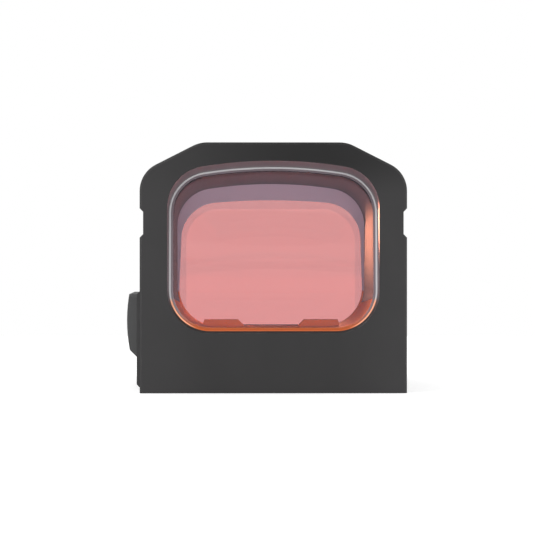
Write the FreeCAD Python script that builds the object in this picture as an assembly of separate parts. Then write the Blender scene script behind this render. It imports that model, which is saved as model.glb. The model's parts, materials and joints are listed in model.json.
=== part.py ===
import FreeCAD, Part
import math
import os

from FreeCAD import Vector

# A compact enclosed red dot sight, in millimetres.
# The origin is at the middle of the footprint, on the mounting face.
# +X is to the right as seen from the eye end, +Y runs from the eye end to the objective end, +Z is up.

# ---- Driving dimensions ----

# Housing
BODY_WIDTH = 29.0
EYE_FACE_Y = -21.0
NOSE_Y = 21.0
TOP_Z = 27.2
SHOULDER_Z = 23.9
TOP_FLAT_WIDTH = 16.0
SHOULDER_RADIUS = 3.2
TOP_RADIUS = 3.5
HOOD_FRONT_Y = 10.6
DECK_Z = 5.8
DECK_CORNER_RADIUS = 2.5
DECK_CHAMFER = 0.5
FACE_CHAMFER = 0.2
HOOD_FRONT_CHAMFER = 0.8
HALF_WIDTH = BODY_WIDTH / 2
PAST = 1.0  # how far cutting tools run past the faces they open

# Side grooves along the hood
GROOVE_LOW_Z = 16.87
GROOVE_HIGH_Z = 20.05
GROOVE_DEPTH = 0.38

# Window at the eye end
WINDOW_HALF = 11.5
WINDOW_FLOOR_Z = 6.5
WINDOW_TOP_Z = 25.2
WINDOW_CORNER = 4.5
WINDOW_CROWN = 48.0
REAR_TILT = 7.0
REAR_SEAT_Y = -18.9
REAR_GLASS_THICKNESS = 1.8
REAR_GLASS_HALF = 11.14
REAR_GLASS_FLOOR_Z = 6.64
REAR_GLASS_TOP_Z = 24.34
REAR_GLASS_BEVEL = 0.25
REAR_POCKET_HALF = 11.34
REAR_POCKET_TOP_Z = 24.54
REAR_SEAL_DEPTH = 1.6

# Tunnel between the two glasses
TUNNEL_HALF = 10.96
TUNNEL_TOP_NEAR_Z = 24.2
TUNNEL_TOP_FAR_Z = 22.95
TUNNEL_NEAR_Y = -20.0
TUNNEL_FAR_Y = 8.0
TUNNEL_CORNER = 4.4

# Objective at the far end
FRONT_TILT = 8.0
FRONT_SEAT_Y = 7.0
FLANGE_THICKNESS = 1.0
APERTURE_TOP_Z = 21.53
APERTURE_TOP_CORNER_Z = 20.83
APERTURE_TOP_HALF = 10.35
APERTURE_CORNER = 4.4
LENS_HALF = 11.4
LENS_FLOOR_Z = 6.3
LENS_TOP_Z = 22.2
LENS_CORNER = 4.6
LENS_POCKET_GAP = 0.2
EYE_SIDE_RADIUS = 60.0
COATED_RADIUS = 42.0
OUTER_RADIUS = 58.0
EYE_SIDE_RISE = 1.62
INNER_ELEMENT_THICKNESS = 1.1
OUTER_ELEMENT_THICKNESS = 1.2
CEMENT_GAP = 0.03
LENS_SEAL_DEPTH = 2.0

# Tunnel floor cover
COVER_SHEET = 0.35
COVER_FIT = 0.02
COVER_NEAR_Y = -18.1
COVER_FAR_Y = 5.2
COVER_WALL_NEAR_Z = 10.15
COVER_WALL_FAR_Z = 9.25
STOP_Y = (2.6, 4.6)
STOP_TOP_Z = 7.3
STOP_INNER_X = 3.2
STOP_INNER_TOP_X = 3.85
STOP_OUTER_TOP_X = 7.8
STOP_OUTER_X = 8.1
STOP_ROOT_Z = 6.45

# Hollows in the base
BAY_ROOF_Z = 5.3
BOTTOM_RECESS_Z = 0.9
ADJUSTER_BAY_X = (-9.5, 11.3)
ADJUSTER_BAY_Y = (-19.4, -9.2)
BATTERY_BAY_X = (-10.6, 11.3)
BATTERY_BAY_Y = (-6.55, 10.95)
BAY_CORNER = 0.8
WIRE_NOTCH_X = (-6.5, -3.5)
WIRE_NOTCH_Z = (3.2, 5.3)
BEAM_SLOT_HALF = 2.6
BEAM_SLOT_Y = (-15.8, -9.4)

# Mounting holes in the deck
MOUNT_X = 9.6
MOUNT_Y = 16.0
MOUNT_HOLE_RADIUS = 1.8
MOUNT_HEAD_RADIUS = 3.1
MOUNT_HEAD_FLOOR_Z = 3.2
SOCKET_X = 4.4
SOCKET_Y = 17.2
SOCKET_RADIUS = 1.5
SOCKET_DEPTH = 1.6

# Bottom cover
PLATE_X = (-12.6, 12.2)
PLATE_Y = (-20.2, 12.0)
PLATE_TONGUE_HALF = 4.5
PLATE_TONGUE_Y = 14.0
PLATE_THICKNESS = 0.7
PLATE_CORNER = 1.2
PLATE_SCREWS = ((-11.3, -17.6), (-11.5, 8.6), (9.0, -7.9), (-7.8, -7.9), (0.0, 12.6))
PLATE_SCREW_RADIUS = 0.5
PLATE_SCREW_HEAD_RADIUS = 0.95
PLATE_SCREW_HEAD_HEIGHT = 0.45
PLATE_SCREW_LENGTH = 2.6
DRIVE_RADIUS = 0.42
DRIVE_DEPTH = 0.3
FIT = 0.04  # running clearance of shafts in bores
LOOSE = 0.1  # clearance of screws in through holes

# Adjusting screws
ELEVATION_SCREW_Y = -12.0
WINDAGE_SCREW_Y = -16.9
SCREW_AXIS_Z = 3.1
SCREW_HEAD_X = (13.2, 14.2)
SCREW_HEAD_RADIUS = 2.0
SCREW_HEAD_GAP = 0.15
SCREW_SEAT_X = 12.7
SCREW_SHANK_RADIUS = 1.5
SCREW_THREAD_RADIUS = 0.8
SCREW_THREAD_END_X = 10.9
SCREW_END_X = 7.3
SCREW_SLOT_WIDTH = 0.5
SCREW_SLOT_DEPTH = 0.45
SCREW_NOTCHES = 20
SCREW_NOTCH_RADIUS = 0.12
CLIP_X = (10.98, 11.24)
CLIP_GROOVE_RADIUS = 1.15
CLIP_OUTER_RADIUS = 2.05
CLIP_MOUTH = 1.9
RING_CENTRE_RADIUS = 1.8
RING_WIRE_RADIUS = 0.24

# Elevation wedge, block and guides
NUT_X = (7.6, 9.9)
NUT_TOP_Z = 4.7
WEDGE_HALF_Y = 1.5
WEDGE_START_X = -6.0
WEDGE_FLOOR_Z = 0.85
WEDGE_BASE_Z = 1.5
WEDGE_SLOPE = 0.4
RAMP_ROOT_Z = 1.0
RAMP_LENGTH = 2.4
RAMP_STARTS = (-5.4, 2.2)
RAMP_GAP = 0.03
SHOE_FROM = 0.7
SHOE_TO = 2.0
BLOCK_HALF_X = 6.9
BLOCK_Y = (-18.8, -9.6)
BLOCK_Z = (2.75, 3.75)
RAIL_WIDTH = 0.8
RAIL_TOP_Z = 4.7
PIN_X = 5.75
PIN_Y = -14.2
PIN_RADIUS = 0.5
PIN_FLOOR_Z = 1.75
PIN_PRESS_DEPTH = 0.6
ELEVATION_SPRING_RADIUS = 0.8
SPRING_WIRE = 0.12
SPRING_TURNS = 3.5
SPRING_WIRE_SIDES = 8

# Emitter carrier
CARRIER_HALF_X = 4.2
CARRIER_Z = (3.8, 4.7)
TURRET_HALF_X = 1.8
TURRET_Y = (-15.1, -13.5)
TURRET_TOP_Z = 6.35
ARM_Z = (4.3, 4.65)
ARM_HALF_Y = 0.4
ARM_HEAD_X = (2.4, 3.1)
ARM_HEAD_HALF_Y = 0.75
LED_LEAN = 20.0
LED_BOARD = (2.8, 0.4, 0.95)
LED_SIZE = (1.2, 0.5, 0.8)
LED_FLOOR_Z = 5.35
MASK_THICKNESS = 0.15
MASK_HOLE_RADIUS = 0.1
LEAF_X = (-5.35, -5.1)
LEAF_BOW = 0.35
LEAF_Y = (-12.95, -10.55)

# Keypad
FRAME_Y = (-13.9, 5.9)
FRAME_Z = (0.25, 10.95)
FRAME_PROUD = 0.6
FRAME_SEAT_X = -13.8
FRAME_CHAMFER = 0.3
PAD_POCKET_Y = (-13.1, 5.1)
PAD_POCKET_Z = (3.0, 10.88)
PAD_POCKET_X = -11.8
PAD_CORNER = 0.5
BUTTON_Z = (3.5, 10.6)
BUTTON_LOW_CORNER_Z = 4.37
BUTTON_CREST_Z = 7.65
BUTTON_PROUD = 1.72
BUTTON_FACE_RADIUS = 18.0
BUTTON_LENGTH = 7.8
BUTTON_CENTRES = {"button_down": -8.3, "button_up": 0.3}
BUTTON_GAP = 0.06
BUTTON_BACK_X = -13.2
BUTTON_FLANGE_X = -13.7
BUTTON_FLANGE_LIP = 0.28
BUTTON_FLANGE_TOP_LIP = 0.1
BUTTON_CORNER = 0.5
BUTTON_EDGE_RADIUS = 0.4
MARK_LENGTH = 2.6
MARK_WIDTH = 0.55
MARK_DEPTH = 0.14
FRAME_SCREWS_Y = (-12.4, -4.0, 4.4)
FRAME_SCREW_Z = 1.95
GASKET_X = (-13.78, -13.3)
GASKET_BAND_Y = 0.45
GASKET_BAND_Z = 0.1
BOARD_THICKNESS = 0.4
SWITCH_X = (-12.65, -12.2)
SWITCH_SIZE = 3.0
SWITCH_BORE_RADIUS = 0.75
PLUNGER_RADIUS = 0.7
PLUNGER_END_X = -12.55
BUTTON_MID_Z = 7.1

# Coin cell, tray and cap
CELL_RADIUS = 8.0
CELL_X = 1.5
CELL_Y = 2.2
CELL_Z = (1.6, 3.6)
CELL_LIP_RADIUS = 6.9
CELL_LIP = 0.25
TRAY_Z = (1.15, 1.55)
TRAY_RIM_TOP_Z = 3.1
TRAY_HALF_Y = 8.6
TRAY_BACK_X = -5.6
TRAY_RIM_GAP = 0.1
TRAY_OPEN_HALF = 7.0
TRAY_MOUTH_Z = (1.05, 3.75)
CAP_X = (13.1, 14.45)
CAP_Y = (-9.1, 13.5)
CAP_Z = (0.5, 5.25)
CAP_CORNER = 1.4
CAP_GAP = 0.08
CAP_SCREWS_Y = (-7.9, 12.3)
CAP_SCREW_Z = 2.9
CAP_SCREW_RADIUS = 0.6
CAP_SCREW_HEAD_RADIUS = 1.15
CAP_SCREW_HEAD_X = (13.7, 14.35)
CAP_SCREW_END_X = 11.7
TRAY_SEAL_X = (12.75, 13.1)
TRAY_SEAL_WIDTH = 0.45
PULL_LIP_Y = (-1.5, 5.9)
PULL_LIP_DEPTH = 0.5

# Circuit board and contacts
BOARD_X = (-10.2, 8.6)
BOARD_Y = (-6.2, 10.6)
BOARD_Z = (4.5, 5.0)
BOARD_SCREWS = ((-9.0, 8.6), (-9.0, -5.0))
BOARD_SCREW_RADIUS = 0.45
BOARD_SCREW_HEAD_RADIUS = 0.85
BOARD_SCREW_GRIP = 0.6
CHIPS = ((-9.6, -3.2, 2.4, 2.4), (-9.6, 1.6, 2.2, 3.0), (-9.4, 5.4, 1.2, 0.7))
CHIP_HEIGHT = 0.8
CONTACT_SHEET = 0.15
CONTACT_WIDTH = 2.4
CONTACT_RUN = 4.0
CONTACT_TIP = 1.0


# ---- Shape helpers ----

def box(x, y, z):
    """A box from its (low, high) pairs along X, Y and Z."""
    return Part.makeBox(x[1] - x[0], y[1] - y[0], z[1] - z[0], Vector(x[0], y[0], z[0]))


def around(centre, half):
    """The (low, high) pair that reaches half to each side of centre."""
    return (centre - half, centre + half)


def rod_x(x, y, z, radius):
    """A cylinder along X between the pair x."""
    return Part.makeCylinder(radius, x[1] - x[0], Vector(x[0], y, z), Vector(1, 0, 0))


def rod_z(x, y, z, radius):
    """A cylinder along Z between the pair z."""
    return Part.makeCylinder(radius, z[1] - z[0], Vector(x, y, z[0]), Vector(0, 0, 1))


def round_along(shape, direction, radius):
    """Rounds the edges of a block that run along one direction."""
    chosen = []
    for edge in shape.Edges:
        tangent = edge.tangentAt(edge.FirstParameter)
        if abs(abs(tangent.dot(direction)) - 1) < 1e-6:
            chosen.append(edge)
    return shape.makeFillet(radius, chosen)


def prism(points, direction):
    """A polygon through points, extruded along direction."""
    corners = [Vector(*point) for point in points]
    return Part.Face(Part.makePolygon(corners + corners[:1])).extrude(Vector(*direction))


def crowned_outline(y, half, bottom, top, corner, crown):
    """A closed wire in a plane of constant Y, with a level floor, upright sides and a crowned top."""
    crown_z = top - crown
    corner_x = half - corner
    lower_z = bottom + corner
    reach = crown - corner
    upper_z = crown_z + math.sqrt(reach**2 - corner_x**2)
    angle = math.atan2(upper_z - crown_z, corner_x)

    def point(x, z):
        return Vector(x, y, z)

    def on_corner(side, centre_z, turn):
        return point(side * (corner_x + corner * math.cos(turn)), centre_z + corner * math.sin(turn))

    quarter = math.pi / 4
    edges = [
        Part.LineSegment(point(-corner_x, bottom), point(corner_x, bottom)),
        Part.Arc(point(corner_x, bottom), on_corner(1, lower_z, -quarter), point(half, lower_z)),
        Part.LineSegment(point(half, lower_z), point(half, upper_z)),
        Part.Arc(point(half, upper_z), on_corner(1, upper_z, angle / 2), on_corner(1, upper_z, angle)),
        Part.Arc(on_corner(1, upper_z, angle), point(0, top), on_corner(-1, upper_z, angle)),
        Part.Arc(on_corner(-1, upper_z, angle), on_corner(-1, upper_z, angle / 2), point(-half, upper_z)),
        Part.LineSegment(point(-half, upper_z), point(-half, lower_z)),
        Part.Arc(point(-half, lower_z), on_corner(-1, lower_z, -quarter), point(-corner_x, bottom)),
    ]
    return Part.Wire([edge.toShape() for edge in edges])


def slab(wire, depth):
    """A wire in a plane of constant Y, filled and extruded along Y."""
    return Part.Face(wire).extrude(Vector(0, depth, 0))


def lean_rear(shape):
    """Leans a shape with the rear window: its top towards the objective end."""
    return shape.rotated(Vector(0, REAR_SEAT_Y, WINDOW_FLOOR_Z), Vector(1, 0, 0), -REAR_TILT)


def lean_front(shape):
    """Leans a shape with the objective: its top towards the eye end."""
    return shape.rotated(Vector(0, FRONT_SEAT_Y, WINDOW_FLOOR_Z), Vector(1, 0, 0), FRONT_TILT)


def countersunk_screw(base, direction, radius, length, head_radius, head_height):
    """A flat-headed screw with a six-sided drive, its head's outer face at base."""
    outward = Vector(*direction)
    start = Vector(*base)
    shank = Part.makeCylinder(radius, length, start, -outward)
    head = Part.makeCone(head_radius, radius, head_height, start, -outward)
    drive = Part.makePolygon(hexagon(start, outward, DRIVE_RADIUS))
    recess = Part.Face(drive).extrude(-outward * DRIVE_DEPTH)
    return shank.fuse(head).cut(recess).removeSplitter()


def hexagon(centre, normal, radius):
    """The seven points of a closed hexagon."""
    side = Vector(0, 1, 0) if abs(normal.y) < 0.5 else Vector(1, 0, 0)
    other = normal.cross(side)
    points = []
    for step in range(7):
        turn = step * math.pi / 3
        points.append(centre + side * (radius * math.cos(turn)) + other * (radius * math.sin(turn)))
    return points


def group(shapes):
    """Several separate solids in one node."""
    return Part.makeCompound(shapes)


# ---- Housing ----

def outer_block():
    """The outside of the hood and base, before anything is cut from it."""
    flat = TOP_FLAT_WIDTH / 2
    profile = prism(
        [
            (-HALF_WIDTH, EYE_FACE_Y, 0),
            (HALF_WIDTH, EYE_FACE_Y, 0),
            (HALF_WIDTH, EYE_FACE_Y, SHOULDER_Z),
            (flat, EYE_FACE_Y, TOP_Z),
            (-flat, EYE_FACE_Y, TOP_Z),
            (-HALF_WIDTH, EYE_FACE_Y, SHOULDER_Z),
        ],
        (0, HOOD_FRONT_Y - EYE_FACE_Y, 0),
    )
    profile = profile.makeFillet(SHOULDER_RADIUS, long_edges_at(profile, HALF_WIDTH, SHOULDER_Z))
    profile = profile.makeFillet(TOP_RADIUS, long_edges_at(profile, flat, TOP_Z))
    profile = chamfer_end(profile, HOOD_FRONT_Y, HOOD_FRONT_CHAMFER, DECK_Z)
    profile = chamfer_end(profile, EYE_FACE_Y, FACE_CHAMFER, 0)
    deck = box(around(0, HALF_WIDTH), (HOOD_FRONT_Y - PAST, NOSE_Y), (0, DECK_Z))
    corners = []
    for edge in deck.Edges:
        if edge.BoundBox.YMin > NOSE_Y - PAST and edge.BoundBox.ZLength > DECK_Z / 2:
            corners.append(edge)
    deck = deck.makeFillet(DECK_CORNER_RADIUS, corners)
    rim = []
    for edge in deck.Edges:
        bounds = edge.BoundBox
        if bounds.ZMin > DECK_Z - FIT and bounds.YMax > HOOD_FRONT_Y:
            rim.append(edge)
    return profile.fuse(deck.makeChamfer(DECK_CHAMFER, rim)).removeSplitter()


def long_edges_at(shape, x, z):
    """The edges along Y that pass through (+-x, z)."""
    chosen = []
    for edge in shape.Edges:
        bounds = edge.BoundBox
        if bounds.XLength < FIT and bounds.ZLength < FIT and bounds.YLength > PAST:
            if abs(abs(bounds.XMin) - x) < FIT and abs(bounds.ZMin - z) < FIT:
                chosen.append(edge)
    return chosen


def chamfer_end(shape, y, size, lowest):
    """Breaks the outer edges of the end face at Y = y, above the height lowest."""
    chosen = []
    for edge in shape.Edges:
        bounds = edge.BoundBox
        at_face = abs(bounds.YMin - y) < FIT and abs(bounds.YMax - y) < FIT
        if at_face and bounds.ZMax > lowest + FIT:
            chosen.append(edge)
    return shape.makeChamfer(size, chosen)


def side_grooves():
    """One shallow groove along each side of the hood, with sloped flanks."""
    grooves = []
    for side in (-1, 1):
        face = side * HALF_WIDTH
        floor = side * (HALF_WIDTH - GROOVE_DEPTH)
        outside = side * (HALF_WIDTH + GROOVE_DEPTH)
        grooves.append(
            prism(
                [
                    (outside, EYE_FACE_Y - PAST, GROOVE_LOW_Z - GROOVE_DEPTH),
                    (face, EYE_FACE_Y - PAST, GROOVE_LOW_Z),
                    (floor, EYE_FACE_Y - PAST, GROOVE_LOW_Z + GROOVE_DEPTH),
                    (floor, EYE_FACE_Y - PAST, GROOVE_HIGH_Z - GROOVE_DEPTH),
                    (face, EYE_FACE_Y - PAST, GROOVE_HIGH_Z),
                    (outside, EYE_FACE_Y - PAST, GROOVE_HIGH_Z + GROOVE_DEPTH),
                ],
                (0, HOOD_FRONT_Y - EYE_FACE_Y + 2 * PAST, 0),
            )
        )
    return grooves


def rear_pocket():
    """The bezel that narrows from the eye face, and the straight pocket that holds the rear glass."""
    mouth = crowned_outline(
        EYE_FACE_Y, WINDOW_HALF, WINDOW_FLOOR_Z, WINDOW_TOP_Z, WINDOW_CORNER, WINDOW_CROWN
    )
    rim = crowned_outline(
        REAR_SEAT_Y - REAR_GLASS_THICKNESS,
        REAR_POCKET_HALF,
        WINDOW_FLOOR_Z,
        REAR_POCKET_TOP_Z,
        WINDOW_CORNER,
        WINDOW_CROWN,
    )
    bezel = Part.makeLoft([mouth, lean_rear(rim)], True, True)
    pocket = lean_rear(slab(rim, REAR_GLASS_THICKNESS))
    return [bezel, pocket]


def tunnel_outline(y, grow):
    """The tunnel's section at Y = y, grown outward by grow."""
    share = (y - TUNNEL_NEAR_Y) / (TUNNEL_FAR_Y - TUNNEL_NEAR_Y)
    top = TUNNEL_TOP_NEAR_Z + (TUNNEL_TOP_FAR_Z - TUNNEL_TOP_NEAR_Z) * share
    return crowned_outline(
        y, TUNNEL_HALF + grow, WINDOW_FLOOR_Z - grow, top + grow, TUNNEL_CORNER + grow, WINDOW_CROWN
    )


def tunnel_bar(near, far, grow):
    """The tunnel's inside between two places, grown outward by grow."""
    return Part.makeLoft([tunnel_outline(near, grow), tunnel_outline(far, grow)], True, True)


def tunnel_space():
    """The tunnel, up to the leaning flange that carries the objective."""
    bar = tunnel_bar(TUNNEL_NEAR_Y, TUNNEL_FAR_Y, 0)
    flange = box(
        around(0, BODY_WIDTH),
        (FRONT_SEAT_Y - FLANGE_THICKNESS, NOSE_Y),
        (-TOP_Z, 2 * TOP_Z),
    )
    return bar.cut(lean_front(flange))


def aperture():
    """The opening in the flange: as wide as the tunnel at its floor and narrower at its crowned top."""
    near = FRONT_SEAT_Y - FLANGE_THICKNESS - PAST
    edges = [
        Part.makePolygon(
            [
                Vector(-APERTURE_TOP_HALF, near, APERTURE_TOP_CORNER_Z),
                Vector(-TUNNEL_HALF, near, WINDOW_FLOOR_Z),
                Vector(TUNNEL_HALF, near, WINDOW_FLOOR_Z),
                Vector(APERTURE_TOP_HALF, near, APERTURE_TOP_CORNER_Z),
            ]
        ),
        Part.Arc(
            Vector(APERTURE_TOP_HALF, near, APERTURE_TOP_CORNER_Z),
            Vector(0, near, APERTURE_TOP_Z),
            Vector(-APERTURE_TOP_HALF, near, APERTURE_TOP_CORNER_Z),
        ).toShape(),
    ]
    outline = Part.Wire([edge for part in edges for edge in part.Edges])
    opening = slab(outline, FLANGE_THICKNESS + 2 * PAST)
    return lean_front(round_along(opening, Vector(0, 1, 0), APERTURE_CORNER))


def lens_outline(grow):
    """The objective's outline on its seat, grown outward by grow."""
    return crowned_outline(
        FRONT_SEAT_Y,
        LENS_HALF + grow,
        LENS_FLOOR_Z - grow,
        LENS_TOP_Z + grow,
        LENS_CORNER + grow,
        WINDOW_CROWN,
    )


def cover_space(grow):
    """The U-shaped layer that the tunnel floor cover fills. Its walls are lower towards the objective."""
    layer = tunnel_bar(COVER_NEAR_Y - grow, COVER_FAR_Y + grow, COVER_SHEET + grow)
    low = prism(
        [
            (-HALF_WIDTH, COVER_NEAR_Y - grow, 0),
            (-HALF_WIDTH, COVER_FAR_Y + grow, 0),
            (-HALF_WIDTH, COVER_FAR_Y + grow, COVER_WALL_FAR_Z + grow),
            (-HALF_WIDTH, COVER_NEAR_Y - grow, COVER_WALL_NEAR_Z + grow),
        ],
        (BODY_WIDTH, 0, 0),
    )
    return layer.common(low)


def bays():
    """The adjuster bay and the battery bay, both open to the underside, and the wire notch between them."""
    upright = Vector(0, 0, 1)
    adjuster = box(ADJUSTER_BAY_X, ADJUSTER_BAY_Y, (-PAST, BAY_ROOF_Z))
    battery = box(BATTERY_BAY_X, BATTERY_BAY_Y, (-PAST, BAY_ROOF_Z))
    notch = box(WIRE_NOTCH_X, (ADJUSTER_BAY_Y[1] - PAST, BATTERY_BAY_Y[0] + PAST), WIRE_NOTCH_Z)
    slot = box(around(0, BEAM_SLOT_HALF), BEAM_SLOT_Y, (BAY_ROOF_Z - PAST, WINDOW_FLOOR_Z + PAST))
    return [
        round_along(adjuster, upright, BAY_CORNER),
        round_along(battery, upright, BAY_CORNER),
        notch,
        slot,
    ]


def plate_outline(z, height):
    """The bottom cover's outline as a block."""
    plate = round_along(box(PLATE_X, PLATE_Y, (z, z + height)), Vector(0, 0, 1), PLATE_CORNER)
    tongue = box(
        around(0, PLATE_TONGUE_HALF), (PLATE_Y[1] - 2 * PLATE_CORNER, PLATE_TONGUE_Y), (z, z + height)
    )
    return plate.fuse(round_along(tongue, Vector(0, 0, 1), PLATE_CORNER)).removeSplitter()


def mounting_holes():
    """Two counterbored holes down through the deck, and two blind sockets in the underside."""
    holes = []
    for side in (-1, 1):
        holes.append(rod_z(side * MOUNT_X, MOUNT_Y, (-PAST, DECK_Z + PAST), MOUNT_HOLE_RADIUS))
        holes.append(rod_z(side * MOUNT_X, MOUNT_Y, (MOUNT_HEAD_FLOOR_Z, DECK_Z + PAST), MOUNT_HEAD_RADIUS))
        holes.append(rod_z(side * SOCKET_X, SOCKET_Y, (-PAST, SOCKET_DEPTH), SOCKET_RADIUS))
    return holes


def adjuster_bores():
    """A stepped bore through the right wall for each adjusting screw."""
    bores = []
    for y in (ELEVATION_SCREW_Y, WINDAGE_SCREW_Y):
        mouth = (SCREW_SEAT_X, HALF_WIDTH + PAST)
        bores.append(rod_x(mouth, y, SCREW_AXIS_Z, SCREW_HEAD_RADIUS + SCREW_HEAD_GAP))
        through = (ADJUSTER_BAY_X[1] - PAST, HALF_WIDTH)
        bores.append(rod_x(through, y, SCREW_AXIS_Z, SCREW_SHANK_RADIUS + FIT))
    return bores


def keypad_pocket():
    """The recess for the keypad frame, the deeper pocket behind it and the frame's screw holes."""
    recess = box((-HALF_WIDTH - PAST, FRAME_SEAT_X), FRAME_Y, FRAME_Z)
    pocket = box((-HALF_WIDTH, PAD_POCKET_X), PAD_POCKET_Y, PAD_POCKET_Z)
    cuts = [recess, round_along(pocket, Vector(1, 0, 0), PAD_CORNER)]
    for y in FRAME_SCREWS_Y:
        cuts.append(rod_x((FRAME_SEAT_X - PAST, PAD_POCKET_X), y, FRAME_SCREW_Z, PLATE_SCREW_RADIUS))
    return cuts


def tray_passage():
    """The recess for the tray's cap, the passage for the tray and the two cap screw holes."""
    recess = round_along(box((CAP_X[0], HALF_WIDTH + PAST), CAP_Y, CAP_Z), Vector(1, 0, 0), CAP_CORNER)
    mouth = box((ADJUSTER_BAY_X[1] - PAST, HALF_WIDTH), BATTERY_BAY_Y, TRAY_MOUTH_Z)
    groove = box((TRAY_SEAL_X[0], HALF_WIDTH), *tray_seal_outer())
    cuts = [recess, mouth, groove]
    for y in CAP_SCREWS_Y:
        cuts.append(rod_x((CAP_SCREW_END_X, HALF_WIDTH), y, CAP_SCREW_Z, CAP_SCREW_RADIUS))
    return cuts


def tray_seal_outer():
    """The outer Y and Z pairs of the tray's seal."""
    low_z = TRAY_MOUTH_Z[0] - TRAY_SEAL_WIDTH
    high_z = TRAY_MOUTH_Z[1] + TRAY_SEAL_WIDTH
    y = (BATTERY_BAY_Y[0] - TRAY_SEAL_WIDTH, BATTERY_BAY_Y[1] + TRAY_SEAL_WIDTH)
    return y, (low_z, high_z)


def housing():
    """The one-piece housing."""
    cuts = side_grooves() + rear_pocket() + bays() + mounting_holes()
    cuts += adjuster_bores() + keypad_pocket() + tray_passage()
    lens_bed = slab(lens_outline(LENS_POCKET_GAP), NOSE_Y)
    cuts += [tunnel_space(), aperture(), lean_front(lens_bed), cover_space(COVER_FIT)]
    cuts.append(plate_outline(-PAST, BOTTOM_RECESS_Z + PAST))
    for x, y in PLATE_SCREWS:
        cuts.append(rod_z(x, y, (0, PLATE_SCREW_LENGTH + LOOSE), PLATE_SCREW_RADIUS))
    for x, y in BOARD_SCREWS:
        cuts.append(rod_z(x, y, (BAY_ROOF_Z - PAST, BAY_ROOF_Z + BOARD_SCREW_GRIP), BOARD_SCREW_RADIUS))
    for side in (-1, 1):
        press = (BAY_ROOF_Z - PAST, BAY_ROOF_Z + PIN_PRESS_DEPTH)
        cuts.append(rod_z(side * PIN_X, PIN_Y, press, PIN_RADIUS))
    body = outer_block()
    for cut in cuts:
        body = body.cut(cut)
    for x, y in BOARD_SCREWS:
        post = rod_z(x, y, (BOARD_Z[1], BAY_ROOF_Z), BOARD_SCREW_HEAD_RADIUS)
        body = body.fuse(post.cut(rod_z(x, y, (BOARD_Z[0], BAY_ROOF_Z), BOARD_SCREW_RADIUS)))
    return body.removeSplitter()


# ---- Optics ----

def rear_glass_outline():
    """The rear window's outline on its seat."""
    return crowned_outline(
        REAR_SEAT_Y,
        REAR_GLASS_HALF,
        REAR_GLASS_FLOOR_Z,
        REAR_GLASS_TOP_Z,
        WINDOW_CORNER - (REAR_POCKET_HALF - REAR_GLASS_HALF),
        WINDOW_CROWN,
    )


def rear_window():
    """The flat, clear glass at the eye end, bevelled round its outer face."""
    plate = slab(rear_glass_outline(), -REAR_GLASS_THICKNESS)
    outer = REAR_SEAT_Y - REAR_GLASS_THICKNESS
    edges = [edge for edge in plate.Edges if edge.BoundBox.YMax < outer + FIT]
    return lean_rear(plate.makeChamfer(REAR_GLASS_BEVEL, edges))


def rear_window_seal():
    """The bonded ring between the rear glass and its pocket."""
    outer = crowned_outline(
        REAR_SEAT_Y,
        REAR_POCKET_HALF,
        WINDOW_FLOOR_Z,
        REAR_POCKET_TOP_Z,
        WINDOW_CORNER,
        WINDOW_CROWN,
    )
    ring = slab(outer, -REAR_SEAL_DEPTH).cut(slab(rear_glass_outline(), -REAR_GLASS_THICKNESS))
    return lean_rear(ring)


def lens_surface(radius, rise):
    """A ball whose far cap stands rise beyond the lens seat on the lens axis."""
    axis_z = (LENS_FLOOR_Z + LENS_TOP_Z) / 2
    return Part.makeSphere(radius, Vector(0, FRONT_SEAT_Y + rise - radius, axis_z))


def coated_surface(gap):
    """The reflecting surface, moved out by gap."""
    return lens_surface(COATED_RADIUS, EYE_SIDE_RISE + INNER_ELEMENT_THICKNESS + gap)


def objective_inner_element():
    """The eye-side element of the objective, whose front surface carries the reflecting coat."""
    block = slab(lens_outline(0), NOSE_Y)
    hollow = lens_surface(EYE_SIDE_RADIUS, EYE_SIDE_RISE)
    return lean_front(block.common(coated_surface(0)).cut(hollow))


def objective_outer_element():
    """The front element of the objective, cemented to the inner one."""
    block = slab(lens_outline(0), NOSE_Y)
    rise = EYE_SIDE_RISE + INNER_ELEMENT_THICKNESS + OUTER_ELEMENT_THICKNESS
    return lean_front(block.common(lens_surface(OUTER_RADIUS, rise)).cut(coated_surface(CEMENT_GAP)))


def objective_seal():
    """The bonded ring round the objective."""
    outer = slab(lens_outline(LENS_POCKET_GAP), LENS_SEAL_DEPTH)
    return lean_front(outer.cut(slab(lens_outline(0), LENS_SEAL_DEPTH)))


# ---- Tunnel floor cover ----

def floor_cover():
    """The thin U-shaped cover on the tunnel floor, with two raised stops beside the light path."""
    sheet = cover_space(0).cut(tunnel_bar(TUNNEL_NEAR_Y, TUNNEL_FAR_Y, 0))
    for side in (-1, 1):
        sheet = sheet.fuse(
            prism(
                [
                    (side * STOP_INNER_X, STOP_Y[0], STOP_ROOT_Z),
                    (side * STOP_INNER_X, STOP_Y[0], STOP_TOP_Z - (STOP_INNER_TOP_X - STOP_INNER_X)),
                    (side * STOP_INNER_TOP_X, STOP_Y[0], STOP_TOP_Z),
                    (side * STOP_OUTER_TOP_X, STOP_Y[0], STOP_TOP_Z),
                    (side * STOP_OUTER_X, STOP_Y[0], STOP_ROOT_Z),
                ],
                (0, STOP_Y[1] - STOP_Y[0], 0),
            )
        )
    slot = box(around(0, BEAM_SLOT_HALF), BEAM_SLOT_Y, (BAY_ROOF_Z, WINDOW_FLOOR_Z + PAST))
    return sheet.cut(slot).removeSplitter()


# ---- Bottom cover ----

def bottom_cover():
    """The plate that closes the underside."""
    plate = plate_outline(0, PLATE_THICKNESS)
    for x, y in PLATE_SCREWS:
        plate = plate.cut(rod_z(x, y, (0, PLATE_THICKNESS), PLATE_SCREW_RADIUS + LOOSE))
        sink = Part.makeCone(
            PLATE_SCREW_HEAD_RADIUS + LOOSE,
            PLATE_SCREW_RADIUS + LOOSE,
            PLATE_SCREW_HEAD_HEIGHT,
            Vector(x, y, 0),
        )
        plate = plate.cut(sink)
    return shrink_plate(plate)


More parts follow.
